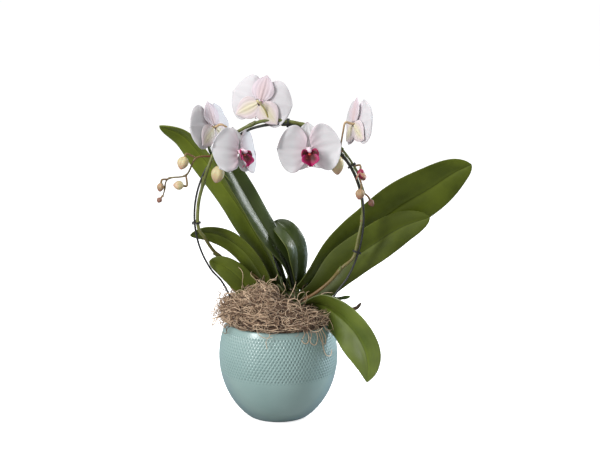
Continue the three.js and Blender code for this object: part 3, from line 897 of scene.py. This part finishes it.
# name, joint on the stem, offset of the flower's middle from it, turn about Z, tip about X and
# roll about Y, size, how far the two petals sweep back
FLOWERS = (
    ("top", on_hoop(96, BESIDE + 1.5), (-10.4, 6, 20.1), (165, 8, -12), 1, 0),
    ("left", on_hoop(122, 0, -BESIDE), (-25.2, 8, 11.7), (-125, 14, 0), 0.95, 0),
    ("front_left", on_hoop(113, 0, -BESIDE), (-6.2, -22, -22.3), (48, -12, 8), 0.95, 15),
    ("centre", on_hoop(60, 0, -BESIDE), (-14.8, -24, -13.3), (4, -4, -4), 1, 0),
    ("right", on_hoop(46, BESIDE), (17.9, 2, 28), (112, 6, 8), 0.95, 0),
)


def flower_frame(joint, offset, angles, size):
    turn, tip, roll = (radians(a) for a in angles)
    frame = Matrix.Translation(joint + millimetres(*offset)) @ Matrix.Rotation(turn, 4, "Z")
    return frame @ Matrix.Rotation(tip, 4, "X") @ Matrix.Rotation(roll, 4, "Y") @ Matrix.Scale(size, 4)


def all_faces(mesh, material):
    mesh.polygons.foreach_set("material_index", [material] * len(mesh.polygons))
    return mesh


def make_petal(name, frame, degrees, length, half_width, lift, cup, wave, narrow=0.52, late=1.0, material=0):
    """One sheet of the flower, facing -Y and reaching out at that angle, cupped both ways."""
    a = radians(degrees)
    out, side = Vector((cos(a), 0, sin(a))), Vector((-sin(a), 0, cos(a)))
    seed = frame.translation * 40 + Vector((degrees, 0, 0))

    def place(u, v):
        t = 1 - (1 - u) ** 1.8
        s = 2 * v - 1
        swell = sin(pi * min(1, 0.08 + 0.92 * t) ** late) ** narrow if u < 1 else 0.004
        half = half_width * swell
        y = lift - cup[0] * t * t - cup[1] * s * s
        y += wave * s * s * noise.noise(seed + Vector((t * 3, s * 1.5, 0)))
        y += 0.7 * bump_at(s, 0, 0.13) * (1 - t) + 0.25 * cos(s * 19 * (1 - 0.2 * t)) * (1 - t * t)
        flat = out * (3 + (length - 3) * (t - 0.035 * s * s * t)) + side * (half * s)
        return frame @ millimetres(flat.x, y, flat.z)

    mesh = bent_grid(name, 30, 24, place)
    ahead = frame.to_3x3() @ Vector((0, -1, 0))
    if sum((face.normal for face in mesh.polygons), Vector()).dot(ahead) < 0:
        mesh.flip_normals()
    return all_faces(mesh, material)


def make_lip(name, frame):
    def keel(u, v):
        s = 2 * v - 1
        half = 4 + 6.3 * bump_at(u, 0.38, 0.32) - 3 * smooth_step((u - 0.62) / 0.38)
        y = -3 - 9 * sin(pi * (0.1 + 0.6 * u)) - 3.4 * s * s + 1.2 * bump_at(s, 0, 0.2)
        return frame @ millimetres(half * s, y, -3 - 16 * u - 1.2 * s * s * bump_at(u, 0.45, 0.2))

    def lobe(side):
        def place(u, v):
            t = 1 - (1 - u) ** 1.7
            s = 2 * v - 1
            half = 6 * sin(pi * min(1, 0.16 + 0.84 * t) ** 0.85) ** 0.5 if u < 1 else 0.02
            x = 2 + 6.6 * sin(1.4 * t) + 0.62 * half * s
            y = -6.5 - 4.5 * sin(1.9 * t) + 1.6 * s * s - 0.45 * half * s
            return frame @ millimetres(side * x, y, -8 + 9 * t - 0.64 * half * s)
        return place

    def whisker(side):
        turns = ((0.8, -7.6, -17.4), (2.2, -6.4, -19.2), (4.2, -7.8, -20), (4.9, -9.9, -18.8),
                 (3.9, -10.5, -17.4))
        return [frame @ millimetres(side * x, y, z) for x, y, z in turns]

    shell = join_meshes(name, [bent_grid(name, 20, 14, place) for place in (keel, lobe(1), lobe(-1))])
    give_wall(shell, LIP_THICKNESS)
    whiskers = [tube(name, whisker(side), 0.35 * MM, 16, 6) for side in (1, -1)]
    crest = ball(name, frame @ millimetres(0, -7.4, -4.6), (1.9 * MM, 1.5 * MM, 1.6 * MM), 1)
    return join_meshes(name, [shell, *whiskers, crest])


def ball(name, centre, size, material):
    bm = bmesh.new()
    bmesh.ops.create_uvsphere(bm, u_segments=20, v_segments=12, radius=1, calc_uvs=True)
    for vert in bm.verts:
        vert.co = Vector((a * b for a, b in zip(vert.co, size))) + centre
    for face in bm.faces:
        face.smooth = True
        face.material_index = material
    return as_mesh(name, bm)


def make_column(name, frame, joint):
    """The column with its anther cap, and the ribbed stalk that runs back to the stem."""
    back = frame @ millimetres(0, 14, 1)
    over = (back + joint) / 2 + millimetres(0, 0, 4)
    stalk_route = [joint, over, back, frame @ millimetres(0, 6, 0), frame @ millimetres(0, -1.5, 0)]
    stalk = tube(name, stalk_route, lambda s: (1.0 + 0.75 * s * s) * MM, 44, 18, (6, 0.06))
    body_route = [frame @ millimetres(0, y, z) for y, z in ((-0.5, 0), (-3, 0.6), (-6, 0.9), (-9, -0.2))]
    body = tube(name, body_route, lambda s: (2.1 + 0.9 * sin(0.79 + 1.95 * s)) * MM, 24, 18)
    cap = ball(name, frame @ millimetres(0, -10, -0.5), (2.5 * MM, 2.1 * MM, 2.2 * MM), 1)
    return join_meshes(name, [stalk, all_faces(body, 1), cap])


def petal_finish(name, base, flush, veins, reach=(0.05, 0.55), rib=False):
    """Thin matt petal, flushed from its base outwards or down its rib, with veins that fan out."""
    skin = Finish(name, Roughness=0.55, Specular_IOR_Level=0.3, Sheen_Weight=0.1)
    skin.set(Subsurface_Weight=0.25, Subsurface_Scale=2 * MM, Subsurface_Radius=(1, 0.8, 0.8))
    uv = skin.uv()
    along, across, _ = skin.split(uv)
    lines = skin.streaked(uv, 1.6, 26.0)
    flushing = skin.ramp(along, (reach[0], 1.0), (reach[1], 0.0))
    if rib:
        down_rib = skin.ramp(skin.off_middle(across), (0.04, 0.95), (0.34, 0.1))
        flushing = skin.times(flushing, down_rib)
    flushed = skin.mix(flushing, base, flush)
    line = skin.ramp(lines, (0.5, 0.0), (0.72, veins))
    skin.link(skin.mix(line, flushed, flush), "Base Color")
    crystal = skin.noise(skin.place(), 900, 3)
    skin.bump(skin.math("MULTIPLY_ADD", crystal, 0.4, lines), 0.2, 0.5 * MM)
    return skin.material


def lip_finish():
    """Crimson lip with a paler edge and blotches of maroon in its throat."""
    lip = Finish("lip_magenta", Roughness=0.5, Specular_IOR_Level=0.3, Subsurface_Weight=0.1)
    lip.set(Subsurface_Scale=1 * MM)
    along, across, _ = lip.split(lip.uv())
    edge = lip.times(lip.off_middle(across), 2)
    rosy = lip.mix(lip.ramp(edge, (0.7, 0.0), (1.0, 0.5)), (0.33, 0.004, 0.075), (0.5, 0.04, 0.2))
    spots = lip.ramp(lip.noise(lip.place(), 560, 2), (0.5, (0.05, 0.002, 0.004)), (0.66, (0.14, 0.008, 0.01)),
                     (0.8, (0.42, 0.17, 0.1)))
    throat = lip.ramp(along, (0.45, 1.0), (0.8, 0.0))
    inner = lip.times(throat, lip.ramp(edge, (0.45, 1.0), (0.9, 0.0)))
    lip.link(lip.mix(inner, rosy, spots), "Base Color")
    lip.bump(lip.noise(lip.place(), 500, 3), 0.3, 0.4 * MM)
    return lip.material


def stalk_finish(name, low, high):
    stalk = Finish(name, Roughness=0.45, Subsurface_Weight=0.08, Subsurface_Scale=1 * MM)
    along = stalk.split(stalk.uv())[0]
    shade = stalk.ramp(along, (0.1, low), (0.75, high))
    blotch = stalk.ramp(stalk.noise(stalk.place(), 260), (0.45, 0.0), (0.75, 0.5))
    stalk.link(stalk.mix(blotch, shade, low), "Base Color")
    stalk.bump(stalk.noise(stalk.place(), 600), 0.2, 0.3 * MM)
    return stalk.material


WHITE = (0.63, 0.62, 0.635)
petal_front = petal_finish("petal_front", WHITE, (0.6, 0.5, 0.54), 0.22, (0.02, 0.3))
# The sepals' fronts are painted lighter than the petals, against the shade the petals cast on them, and the
# petals' backs are painted darker, against the lamps' glare on them.
shaded_petal_back = petal_finish("shaded_petal_back", (0.54, 0.53, 0.545), (0.52, 0.45, 0.49), 0.3, (0.02, 0.3))
lit_sepal_front = petal_finish("lit_sepal_front", (0.74, 0.73, 0.74), (0.68, 0.64, 0.66), 0.2, (0.02, 0.2))
dorsal_back = petal_finish("dorsal_back", (0.57, 0.5, 0.545), (0.52, 0.41, 0.42), 0.35, (0.2, 1), True)
lateral_back = petal_finish("lateral_back", (0.6, 0.51, 0.55), (0.58, 0.53, 0.37), 0.3, (0.4, 1), True)
lip_skin = lip_finish()
lip_crest = petal_finish("lip_crest", (0.75, 0.45, 0.12), (0.5, 0.06, 0.05), 0.6)
column_white = petal_finish("column_white", WHITE, (0.78, 0.5, 0.62), 0.1, (0.6, 1.0))
stalk_green = stalk_finish("flower_stalk_green", (0.3, 0.26, 0.07), (0.66, 0.58, 0.34))
stalk_brown = stalk_finish("flower_stalk_brown", (0.24, 0.13, 0.045), (0.52, 0.38, 0.22))
bud_stalk = stalk_finish("bud_stalk", (0.2, 0.14, 0.05), (0.19, 0.1, 0.04))

for name, joint, offset, angles, size, sweep in FLOWERS:
    flower = flower_frame(joint, offset, angles, size)
    node = "flower_" + name
    sepals = [make_petal(node, flower, degrees, SEPAL_LENGTH, width * FLOWER_RADIUS, SEPAL_BACK,
                         (3 - 0.7 * sweep, 0.4), 1.6, 0.75, 0.85, kind)
              for degrees, width, kind in ((90, 0.38, 0), (218, 0.37, 1), (322, 0.37, 1))]
    piece = add_piece(node + "_three_sepals", join_meshes(node, sepals),
                      [lit_sepal_front, lit_sepal_front, dorsal_back, lateral_back], "sepal", node + "_sepals")
    thicken(piece, PETAL_THICKNESS, 2)
    for side, degrees in (("left", 172), ("right", 8)):
        petal = make_petal(node, flower, degrees, PETAL_LENGTH, PETAL_HALF_WIDTH, 0, (3.5 - sweep, 2), 3)
        piece = add_piece(f"{node}_{side}_petal", petal, [petal_front, shaded_petal_back], "petal",
                          f"{node}_petal_{side}")
        thicken(piece, PETAL_THICKNESS, 1)
    add_piece(node + "_lobed_lip", make_lip(node, flower), [lip_skin, lip_crest], "lip", node + "_lip")
    stalk = stalk_green if name in ("top", "centre") else stalk_brown
    add_piece(node + "_column_and_stalk", make_column(node, flower, joint), [stalk, column_white],
              "column", node + "_column")

# ---- Buds ----
# Closed buds hang from short stalks: three fleshy sepals that meet in shallow seams, larger and
# paler towards the flowers. One has begun to open and shows the magenta lip inside.

PEDICEL_RADIUS = 1.1 * MM


def make_bud(name, joint, offset, size, aim, opening=False):
    length, width = size
    tip = Vector(aim).normalized()
    middle = joint + millimetres(*offset)
    neck = middle + tip * ((1.5 - length / 2) * MM)
    side = tip.cross(Vector((0, 1, 0))).normalized()
    up = tip.cross(side)

    def closed(scale):
        def place(u, v):
            t = 0.5 - 0.5 * cos(pi * u)
            angle = v * 2 * pi
            r = width / 2 * sin(pi * t**0.86) ** 0.6 if 0 < u < 1 else 0.0
            seam = abs(cos(1.5 * angle + 0.4)) ** 10
            r *= scale * (1 - 0.09 * seam * smooth_step(t / 0.3)) * (1 + 0.03 * cos(3 * angle + 3.4))
            outward = side * cos(angle) + up * sin(angle)
            return middle + tip * (length * (t - 0.5) * scale * MM) + outward * (r * MM)
        return place

    def sepal(k):
        def place(u, v):
            t = 0.02 + 0.98 * u
            half = 0.95 * sin(pi * min(1, 0.25 + 0.75 * t) ** 0.9) ** 0.5 if u < 1 else 0.02
            angle = k * 2 * pi / 3 + 0.9 + half * (2 * v - 1)
            r = width / 2 * (sin(pi * 0.6 * t) ** 0.7 + 0.9 * max(0, t - 0.5))
            outward = side * cos(angle) + up * sin(angle)
            return middle + tip * (length * (t - 0.5) * MM) + outward * (r * MM)
        return give_wall(bent_grid(name, 18, 12, place), PETAL_THICKNESS)

    if opening:
        parts = [all_faces(bent_grid(name, 22, 24, closed(0.88)), 1), sepal(0), sepal(1), sepal(2)]
    else:
        parts = [bent_grid(name, 32, 48, closed(1))]
    pedicel = [neck + tip * (1.5 * MM), neck, neck - tip * (5 * MM), joint]
    stalk = tube(name, pedicel, lambda s: PEDICEL_RADIUS * (1 + 0.35 * (1 - s) ** 2), 28, 12)
    return join_meshes(name, [*parts, all_faces(stalk, 2)])


def bud_finish(name, base, tip, streak):
    skin = Finish(name, Roughness=0.42, Specular_IOR_Level=0.4, Subsurface_Weight=0.2)
    skin.set(Subsurface_Scale=2 * MM)
    place, uv = skin.place(), skin.uv()
    along = skin.split(uv)[0]
    soft = skin.math("ADD", along, skin.times(skin.noise(place, 140), 0.25))
    shade = skin.mix(skin.ramp(soft, (0.62, 0.0), (1.08, 0.9)), base, tip)
    lines = skin.streaked(uv, 1.5, 40.0, 2)
    skin.link(skin.mix(skin.ramp(lines, (0.5, 0.0), (0.75, streak)), shade, tip), "Base Color")
    skin.bump(skin.math("ADD", lines, skin.noise(place, 700)), 0.2, 0.3 * MM)
    return skin.material


bud_skins = {
    "cream": bud_finish("bud_cream", (0.52, 0.45, 0.25), (0.46, 0.26, 0.2), 0.3),
    "rosy": bud_finish("bud_rosy", (0.36, 0.25, 0.14), (0.28, 0.1, 0.08), 0.45),
    "brown": bud_finish("bud_brown", (0.24, 0.12, 0.08), (0.17, 0.05, 0.04), 0.5),
}
magenta_core = bud_finish("bud_magenta", (0.26, 0.01, 0.05), (0.16, 0.005, 0.03), 0.5)
# name, joint, offset of the bud's middle from it, length and width, way the tip points, skin
BUDS = (
    ("bud_left_large", on_hoop(140, 0, -BESIDE), (5, -5, -20), (21, 16), (-0.25, 0, -1), "cream"),
    ("bud_right_large", on_hoop(43, BESIDE), (-8, -6, -15), (24, 16.5), (0.05, 0, -1), "cream"),
    ("bud_spray_1", spray_route[1], (-15, -8, -5), (16, 13.5), (-0.35, -0.3, -1), "cream"),
    ("bud_spray_2", spray_route[2], (-9, -2, -12), (12.5, 11), (-1, -0.2, 0.1), "cream"),
    ("bud_spray_3", spray_route[3], (-8, -4, -9), (11, 8.5), (-0.2, 0, -1), "rosy"),
    ("bud_spray_tip", spray_route[5], (-4, 0, -4), (7, 6.5), (-0.6, 0, -0.8), "brown"),
    ("bud_opening", on_hoop(32, BESIDE), (8, -10, -8), (14, 10), (0.1, -0.4, -1), "rosy"),
    ("bud_right_small", on_hoop(24, BESIDE), (0, -11, -18), (13, 11), (-0.2, -0.3, -1), "rosy"),
    ("bud_right_tip", on_hoop(14, BESIDE), (8, -1, -11), (9.5, 7.5), (0.5, 0, -1), "brown"),
)
for name, joint, offset, size, aim, skin in BUDS:
    bud = make_bud(name, joint, offset, size, aim, name == "bud_opening")
    add_piece(name + "_sepals", bud, [bud_skins[skin], magenta_core, bud_stalk], "bud", name)

# ---- Aerial roots ----
# Two thick roots leave the stem base above the moss and reach out over the rim: a living green one
# with an upturned tip and a withered brown one under it.

ROOT_RADIUS = 2.4


def root_finish(name, low, high, tip):
    root = Finish(name, Roughness=0.7)
    place = root.place()
    mottle, _ = root.mottled(170, 5, (0.35, low), (0.7, high))
    along = root.split(root.uv())[0]
    root.link(root.mix(root.ramp(along, (0.8, 0.0), (0.95, 1.0)), mottle, tip), "Base Color")
    root.bump(root.noise(place, 380, 5), 0.6, 0.7 * MM)
    return root.material


def make_root(name, points, seed):
    def wide(share):
        lump = noise.noise(Vector((share * 14, seed, 0))) * 0.22
        return ROOT_RADIUS * MM * (0.92 + lump) * sqrt(max(0.02, 1 - max(0, (share - 0.9) / 0.1) ** 2))
    return tube(name, [rim(*point) for point in points], wide, 110, 16)


upper_root = ((30, 14, 12), (52, 22, 22), (73, 24, 22), (88, 22, 25))
lower_root = ((30, 12, 0), (52, 14, 14), (78, 8, 14), (94, 6, 14), (101, 6, 21))
add_piece("root_green", make_root("root_green", upper_root, 3),
          [root_finish("root_green", (0.022, 0.045, 0.014), (0.06, 0.1, 0.035), (0.1, 0.17, 0.03))],
          "root", "aerial_root_upper")
add_piece("root_brown", make_root("root_brown", lower_root, 9),
          [root_finish("root_brown", (0.045, 0.024, 0.012), (0.13, 0.075, 0.04), (0.07, 0.04, 0.02))],
          "root", "aerial_root_lower")

# ---- Moss ----
# A loose cushion of dried curly moss is tucked round the stem base over the bark, heaped highest at
# the left and spilling past the rim in loops and loose ends.

MOSS_BRIM = pot_radius(RIM_HEIGHT) + 2 * MM
MOSS_RISE = 32 * MM
MOSS_PROFILE = ((0.95, -0.02), (1.0, 0.12), (0.99, 0.3), (0.93, 0.5), (0.82, 0.68), (0.66, 0.84),
                (0.4, 0.96), (0, 1))
MOSS_SLOPE = 84 * MM
MOSS_REACH = MOSS_BRIM + 17 * MM  # how far forward or back a loose end may reach


def moss_spot(angle, share, lift):
    """A place over the cushion: share runs from the rim (0) to the middle (1)."""
    step = min(max(share, 0.0), 1.0) * (len(MOSS_PROFILE) - 1)
    i = min(int(step), len(MOSS_PROFILE) - 2)
    (r0, z0), (r1, z1) = MOSS_PROFILE[i], MOSS_PROFILE[i + 1]
    r, z = r0 + (r1 - r0) * (step - i), z0 + (z1 - z0) * (step - i)
    left = cos((angle + 2.6 - 2 * pi * round((angle + 2.6) / (2 * pi))) / 2) ** 2
    heap = 0.4 + 0.85 * left
    lump = noise.noise(Vector((cos(angle) * 2.6, sin(angle) * 2.6, share * 3.4))) * 6 * MM
    away = MOSS_BRIM * r + (lift + lump + 3 * MM * left * left) * (1 - 0.8 * share) * min(1, 6 * share)
    high = RIM_HEIGHT + MOSS_RISE * z * heap + (lift + lump) * min(1, 1.5 * share) + 0.5 * MM
    return around(away, angle, high)


def moss_bed():
    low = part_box("moss_topping")[0][2]

    def place(u, v):
        angle = u * 2 * pi
        if v == 0:
            return Vector((0, 0, low + 1 * MM))
        if v < 0.09:
            return around(0.8 * MOSS_BRIM, angle, low + 1 * MM)
        spot = moss_spot(angle, (v - 0.0625) / 0.9375, -3 * MM)
        inside = 0.9 if v < 0.14 else 1
        return Vector((spot.x * inside, spot.y * inside, spot.z))

    return bent_grid("moss_bed", 96, 32, place)


def thread(spots, thick, tone):
    """A thin closed strand along those places, its tone kept in its UVs."""
    steps = len(spots) - 1

    def place(u, v):
        i = round(u * steps)
        ahead = (spots[min(i + 1, steps)] - spots[max(i - 1, 0)]).normalized()
        side = ahead.cross(Vector((0.3, 0.2, 0.93))).normalized()
        r = thick * (0.3 if i in (0, steps) else 1)
        a = v * 2 * pi
        return spots[i] + (side * cos(a) + ahead.cross(side) * sin(a)) * r

    mesh = bent_grid("strand", steps, 3, place)
    for item in mesh.uv_layers[0].data:
        item.uv.y = tone
    return mesh


def strand(rng, angle, share, length, curl, thick, lift, tone):
    """One curly strand wandering over the cushion from that place."""
    steps = 17
    heading = rng.uniform(0, 2 * pi)
    turn = rng.choice((-1, 1)) * curl
    sideways, climb = 0.0, 0.0
    spots = []
    arch = rng.uniform(0.5, 2.2)
    for i in range(steps + 1):
        turn = -turn if rng.random() < 0.12 else turn
        heading += turn * (0.3 + 1.4 * rng.random())
        sideways += cos(heading) * length / steps
        climb += sin(heading) * length / steps
        reach = max(0.25, 1 - share) * MOSS_BRIM
        high = lift * (0.1 + 0.9 * sin(arch * pi * i / steps) ** 2)
        spots.append(moss_spot(angle + sideways / reach, share + climb / MOSS_SLOPE, high))
    return thread(spots, thick, tone)


def wisp(rng, angle, share, length):
    """The places along a loose end that springs out of the cushion, coils and droops."""
    spot = moss_spot(angle, share, 0)
    outward = Vector((cos(angle), sin(angle), rng.uniform(0.3, 1.4)))
    ahead = (outward.normalized() + noise.random_unit_vector(size=3) * 0.9).normalized()
    axis = noise.random_unit_vector(size=3)
    bend = rng.uniform(0.2, 0.75)
    spots = []
    for _ in range(17):
        spots.append(spot.copy())
        ahead = (Matrix.Rotation(bend, 3, axis) @ ahead + Vector((0, 0, -0.04))).normalized()
        spot += ahead * length / 16
    return spots


def in_thin_patch(angle, share):
    """The moss lies thin at the front, beside the leaf that droops there."""
    return abs(angle - 5.15) < 0.35 and 0.35 < share < 0.7


def make_strands(name, seed, count, shares, lifts, tones):
    rng = random.Random(seed)
    strands = []
    for _ in range(count):
        share = rng.uniform(*shares)
        angle = rng.uniform(0, 2 * pi)
        if in_thin_patch(angle, share):
            continue
        strands.append(strand(rng, angle, share, rng.uniform(24, 62) * MM, rng.uniform(0.2, 0.95),
                              rng.uniform(0.28, 0.55) * MM, rng.uniform(*lifts) * MM, rng.uniform(*tones)))
    return join_meshes(name, strands)


def make_wisps(name, seed, count):
    rng = random.Random(seed)
    noise.seed_set(seed)
    wisps = []
    for _ in range(count):
        angle = rng.gauss(3.6, 1.3)
        lowest = 0.1 if abs(angle - 3.2) < 0.6 else 0.25
        spots = wisp(rng, angle, rng.uniform(lowest, 0.95), rng.uniform(14, 44) * MM)
        if max(abs(spot.y) for spot in spots) < MOSS_REACH:
            wisps.append(thread(spots, rng.uniform(0.25, 0.48) * MM, rng.uniform(0.0, 1.2)))
    return join_meshes(name, wisps)


def make_trailers():
    """The few strands that hang over the rim: at the front right in loops, one long, one far left."""
    over = pot_radius(RIM_HEIGHT - 12 * MM) + 1.2 * MM
    lines = (
        ((-0.98, 6, 0), (-0.95, -3, 3.5), (-0.99, -11, 1.8), (-0.9, -16, 1.6), (-0.83, -9, 2.5),
         (-0.86, 2, 3)),
        ((-0.8, 7, -1), (-0.76, -4, 2), (-0.72, -14, 0.8), (-0.66, -18, 1.2), (-0.62, -10, 2), (-0.68, 1, 2)),
        ((-1.1, 5, 0), (-1.08, -2, 2.5), (-1.14, -9, 1), (-1.06, -13, 1.4), (-1.0, -6, 2), (-1.05, 3, 1.5)),
        ((-0.78, 6, 0), (-0.7, -8, 2), (-0.72, -20, 1), (-0.66, -31, 1), (-0.56, -33, 1.5), (-0.5, -26, 2)),
        ((-0.62, 8, -1), (-0.55, -1, 3), (-0.42, -4, 5), (-0.36, 3, 5), (-0.46, 8, 3), (-0.56, 5, 2)),
        ((3.3, 12, 0), (3.32, 8, 8), (3.3, 1, 13), (3.34, -2, 16), (3.4, 3, 15), (3.36, 7, 12)),
    )
    trailers = []
    for n, line in enumerate(lines):
        points = []
        for angle, z, away in line:
            wall = pot_radius(RIM_HEIGHT + min(z, 0) * MM) if z < 2 else over - 4 * MM
            r = wall + (away + 0.8) * MM
            points.append(around(r, angle, RIM_HEIGHT + z * MM))
        route = Route(points)
        spots = [route.at(i / 22)[0] for i in range(23)]
        trailers.append(thread(spots, 0.62 * MM, 0.8 + 0.05 * n))
    return join_meshes("moss_trailers", trailers)


def moss_finish():
    moss = Finish("moss_dried", Roughness=0.85, Sheen_Weight=0.15)
    tone = moss.split(moss.uv())[1]
    mixed = moss.math("ADD", tone, moss.times(moss.noise(moss.place(), 160), 0.3))
    dried = moss.ramp(mixed, (0.12, (0.05, 0.024, 0.013)), (0.58, (0.29, 0.175, 0.104)),
                      (1.0, (0.68, 0.5, 0.34)))
    moss.link(dried, "Base Color")
    moss.bump(moss.noise(moss.place(), 900, 3), 0.5, 0.4 * MM)
    return moss.material


# Painted shade: the dark bed under the strands stands for the shade between them.
def moss_shadow():
    bed = Finish("moss_shadow_underlayer", Roughness=0.95)
    shade, cloud = bed.mottled(240, 6, (0.35, (0.016, 0.009, 0.006)), (0.7, (0.11, 0.065, 0.042)))
    bed.link(shade, "Base Color")
    bed.bump(cloud, 1, 3 * MM)
    return bed.material


dried = moss_finish()
add_piece("moss_bed", moss_bed(), [moss_shadow()], "moss", "moss_topping")
for name, mesh in (
    # Painted shade: the under strands take darker tones than the over strands, for the shade deep in the
    # cushion.
    ("moss_under", make_strands("moss_under", 11, 640, shares=(0.02, 0.95), lifts=(-2, 2), tones=(0, 0.4))),
    ("moss_over", make_strands("moss_over", 23, 480, shares=(0.04, 0.95), lifts=(0, 11), tones=(0.2, 1.3))),
    ("moss_wisps", make_wisps("moss_wisps", 5, 760)),
    ("moss_trailers", make_trailers()),
):
    add_piece(name, mesh, [dried], "moss")
